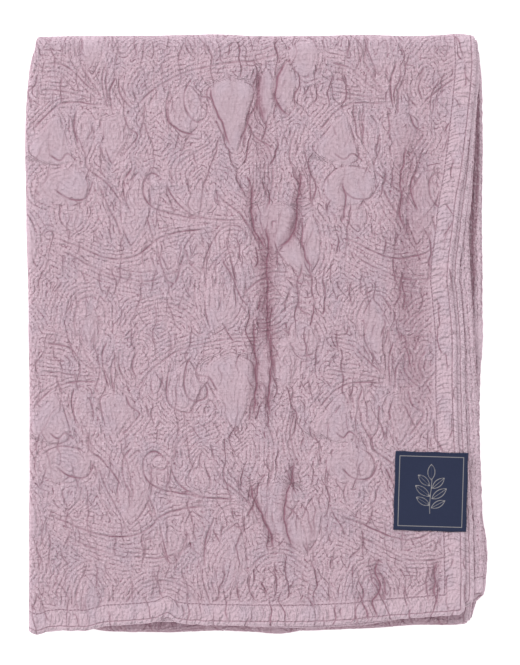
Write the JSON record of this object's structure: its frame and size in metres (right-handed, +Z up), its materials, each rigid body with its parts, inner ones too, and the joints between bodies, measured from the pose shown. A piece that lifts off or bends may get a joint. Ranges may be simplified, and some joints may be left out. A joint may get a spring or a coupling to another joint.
{
  "type": "folded quilt",
  "caption": "Folded bed quilt of puckered, quilted cotton with corded hems and a small plain woven label at one corner.",
  "frame": {"origin": "on the surface that the pile lies on, under the middle of the pile", "axes": "+Z up, +Y along the pile to its far fold, +X across to the hemmed side with the label"},
  "size_m": [0.4632, 0.602, 0.0479],
  "materials": {
    "quilted_cotton": "matte washed cotton, quilted and puckered",
    "woven_label": "soft satin weave"
  },
  "bodies": {
    "root": {"quilt": "quilted_cotton", "label": "woven_label"}
  },
  "joints": []
}
